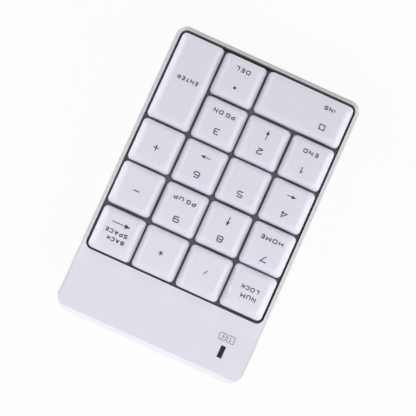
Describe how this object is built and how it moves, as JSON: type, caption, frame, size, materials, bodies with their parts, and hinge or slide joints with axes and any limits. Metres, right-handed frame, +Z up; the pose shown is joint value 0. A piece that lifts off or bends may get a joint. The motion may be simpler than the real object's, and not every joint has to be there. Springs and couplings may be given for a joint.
{
  "type": "numeric keypad",
  "caption": "Cordless desktop numeric keypad with low sculpted keys, a plain band with an indicator window, a battery bay and a stowed receiver.",
  "frame": {"origin": "on the table under the middle of the case", "axes": "+X to the user's right, +Y away from the user towards the band, +Z up"},
  "size_m": [0.0804, 0.124, 0.0221],
  "materials": {
    "case_plastic": "fine texture",
    "base_plastic": "fine texture",
    "key_plastic": "smooth matte",
    "tray_plastic": "matte",
    "silicone": "translucent rubber",
    "film": "clear film",
    "plate_steel": "zinc plated",
    "board_laminate": "solder mask",
    "chip_resin": "moulded",
    "crystal_can": "plated",
    "led_body": "moulded",
    "lens_plastic": "polished",
    "clamp_plastic": "moulded",
    "screw_steel": "zinc plated",
    "cell_jacket": "printed jacket",
    "contact_steel": "nickel plated",
    "switch_plastic": "moulded",
    "lead_insulation": "insulated wire",
    "foot_rubber": "matte",
    "label_film": "blank film",
    "wire_steel": "spring wire",
    "receiver_plastic": "moulded",
    "plug_steel": "nickel plated",
    "tongue_plastic": "moulded"
  },
  "bodies": {
    "case": {"top_case": "case_plastic", "bottom_case": "base_plastic", "key_guide_plate": "tray_plastic", "dome_sheet": "silicone", "membrane_top_film": "film", "membrane_spacer": "film", "membrane_bottom_film": "film", "backing_plate": "plate_steel", "circuit_board": "board_laminate", "controller_chip": "chip_resin", "radio_crystal": "crystal_can", "indicator_leds": "led_body", "indicator_lens": "lens_plastic", "membrane_clamp": "clamp_plastic", "board_screws": "screw_steel", "case_screws": "screw_steel", "battery_cell": "cell_jacket", "battery_spring_contact": "contact_steel", "battery_plate_contact": "contact_steel", "power_switch_body": "switch_plastic", "power_lead": "lead_insulation", "rubber_feet": "foot_rubber", "rating_label": "label_film"},
    "key_num_lock": {"keycap_num_lock": "key_plastic"},
    "key_divide": {"keycap_divide": "key_plastic"},
    "key_multiply": {"keycap_multiply": "key_plastic"},
    "key_backspace": {"keycap_backspace": "key_plastic"},
    "key_seven": {"keycap_seven": "key_plastic"},
    "key_eight": {"keycap_eight": "key_plastic"},
    "key_nine": {"keycap_nine": "key_plastic"},
    "key_minus": {"keycap_minus": "key_plastic"},
    "key_four": {"keycap_four": "key_plastic"},
    "key_five": {"keycap_five": "key_plastic"},
    "key_six": {"keycap_six": "key_plastic"},
    "key_plus": {"keycap_plus": "key_plastic"},
    "key_one": {"keycap_one": "key_plastic"},
    "key_two": {"keycap_two": "key_plastic"},
    "key_three": {"keycap_three": "key_plastic"},
    "key_enter": {"keycap_enter": "key_plastic"},
    "key_zero": {"keycap_zero": "key_plastic"},
    "key_decimal": {"keycap_decimal": "key_plastic"},
    "stabilizer_enter": {"stabilizer_wire_enter": "wire_steel"},
    "stabilizer_zero": {"stabilizer_wire_zero": "wire_steel"},
    "battery_door": {"battery_door": "base_plastic"},
    "power_switch": {"power_switch_slider": "switch_plastic"},
    "receiver": {"receiver_cap": "receiver_plastic", "receiver_plug_shell": "plug_steel", "receiver_plug_tongue": "tongue_plastic"}
  },
  "joints": [
    {"name": "press_num_lock", "type": "slide", "parent": "case", "child": "key_num_lock", "axis": [0, -0.0698, 0.9976], "range_m": [-0.0025, 0], "stiffness_N_per_m": 200, "springref_m": 0.001, "deforming": ["dome_sheet"]},
    {"name": "press_divide", "type": "slide", "parent": "case", "child": "key_divide", "axis": [0, -0.0698, 0.9976], "range_m": [-0.0025, 0], "stiffness_N_per_m": 200, "springref_m": 0.001, "deforming": ["dome_sheet"]},
    {"name": "press_multiply", "type": "slide", "parent": "case", "child": "key_multiply", "axis": [0, -0.0698, 0.9976], "range_m": [-0.0025, 0], "stiffness_N_per_m": 200, "springref_m": 0.001, "deforming": ["dome_sheet"]},
    {"name": "press_backspace", "type": "slide", "parent": "case", "child": "key_backspace", "axis": [0, -0.0698, 0.9976], "range_m": [-0.0025, 0], "stiffness_N_per_m": 200, "springref_m": 0.001, "deforming": ["dome_sheet"]},
    {"name": "press_seven", "type": "slide", "parent": "case", "child": "key_seven", "axis": [0, -0.0698, 0.9976], "range_m": [-0.0025, 0], "stiffness_N_per_m": 200, "springref_m": 0.001, "deforming": ["dome_sheet"]},
    {"name": "press_eight", "type": "slide", "parent": "case", "child": "key_eight", "axis": [0, -0.0698, 0.9976], "range_m": [-0.0025, 0], "stiffness_N_per_m": 200, "springref_m": 0.001, "deforming": ["dome_sheet"]},
    {"name": "press_nine", "type": "slide", "parent": "case", "child": "key_nine", "axis": [0, -0.0698, 0.9976], "range_m": [-0.0025, 0], "stiffness_N_per_m": 200, "springref_m": 0.001, "deforming": ["dome_sheet"]},
    {"name": "press_minus", "type": "slide", "parent": "case", "child": "key_minus", "axis": [0, -0.0698, 0.9976], "range_m": [-0.0025, 0], "stiffness_N_per_m": 200, "springref_m": 0.001, "deforming": ["dome_sheet"]},
    {"name": "press_four", "type": "slide", "parent": "case", "child": "key_four", "axis": [0, -0.0698, 0.9976], "range_m": [-0.0025, 0], "stiffness_N_per_m": 200, "springref_m": 0.001, "deforming": ["dome_sheet"]},
    {"name": "press_five", "type": "slide", "parent": "case", "child": "key_five", "axis": [0, -0.0698, 0.9976], "range_m": [-0.0025, 0], "stiffness_N_per_m": 200, "springref_m": 0.001, "deforming": ["dome_sheet"]},
    {"name": "press_six", "type": "slide", "parent": "case", "child": "key_six", "axis": [0, -0.0698, 0.9976], "range_m": [-0.0025, 0], "stiffness_N_per_m": 200, "springref_m": 0.001, "deforming": ["dome_sheet"]},
    {"name": "press_plus", "type": "slide", "parent": "case", "child": "key_plus", "axis": [0, -0.0698, 0.9976], "range_m": [-0.0025, 0], "stiffness_N_per_m": 200, "springref_m": 0.001, "deforming": ["dome_sheet"]},
    {"name": "press_one", "type": "slide", "parent": "case", "child": "key_one", "axis": [0, -0.0698, 0.9976], "range_m": [-0.0025, 0], "stiffness_N_per_m": 200, "springref_m": 0.001, "deforming": ["dome_sheet"]},
    {"name": "press_two", "type": "slide", "parent": "case", "child": "key_two", "axis": [0, -0.0698, 0.9976], "range_m": [-0.0025, 0], "stiffness_N_per_m": 200, "springref_m": 0.001, "deforming": ["dome_sheet"]},
    {"name": "press_three", "type": "slide", "parent": "case", "child": "key_three", "axis": [0, -0.0698, 0.9976], "range_m": [-0.0025, 0], "stiffness_N_per_m": 200, "springref_m": 0.001, "deforming": ["dome_sheet"]},
    {"name": "press_enter", "type": "slide", "parent": "case", "child": "key_enter", "axis": [0, -0.0698, 0.9976], "range_m": [-0.0025, 0], "stiffness_N_per_m": 200, "springref_m": 0.001, "deforming": ["dome_sheet"]},
    {"name": "press_zero", "type": "slide", "parent": "case", "child": "key_zero", "axis": [0, -0.0698, 0.9976], "range_m": [-0.0025, 0], "stiffness_N_per_m": 200, "springref_m": 0.001, "deforming": ["dome_sheet"]},
    {"name": "press_decimal", "type": "slide", "parent": "case", "child": "key_decimal", "axis": [0, -0.0698, 0.9976], "range_m": [-0.0025, 0], "stiffness_N_per_m": 200, "springref_m": 0.001, "deforming": ["dome_sheet"]},
    {"name": "stabilizer_enter_turn", "type": "hinge", "parent": "case", "child": "stabilizer_enter", "pos_m": [0.03417, -0.04052, 0.01009], "axis": [0, 0.9976, 0.0698], "range_deg": [-21, 0]},
    {"name": "stabilizer_zero_turn", "type": "hinge", "parent": "case", "child": "stabilizer_zero", "pos_m": [-0.01905, -0.05561, 0.00904], "axis": [1, 0, 0], "range_deg": [-21, 0]},
    {"name": "battery_door_slide", "type": "slide", "parent": "case", "child": "battery_door", "axis": [0, 1, 0], "range_m": [0, 0.018]},
    {"name": "power_switch_slide", "type": "slide", "parent": "case", "child": "power_switch", "axis": [0, 1, 0], "range_m": [0, 0.002]},
    {"name": "receiver_pull", "type": "slide", "parent": "case", "child": "receiver", "axis": [0, 1, 0], "range_m": [0, 0.02]}
  ],
  "couplings": [
    {"joint": "stabilizer_enter_turn", "follows": "press_enter", "rad_per_m": 146.08},
    {"joint": "stabilizer_zero_turn", "follows": "press_zero", "rad_per_m": 146.08}
  ]
}
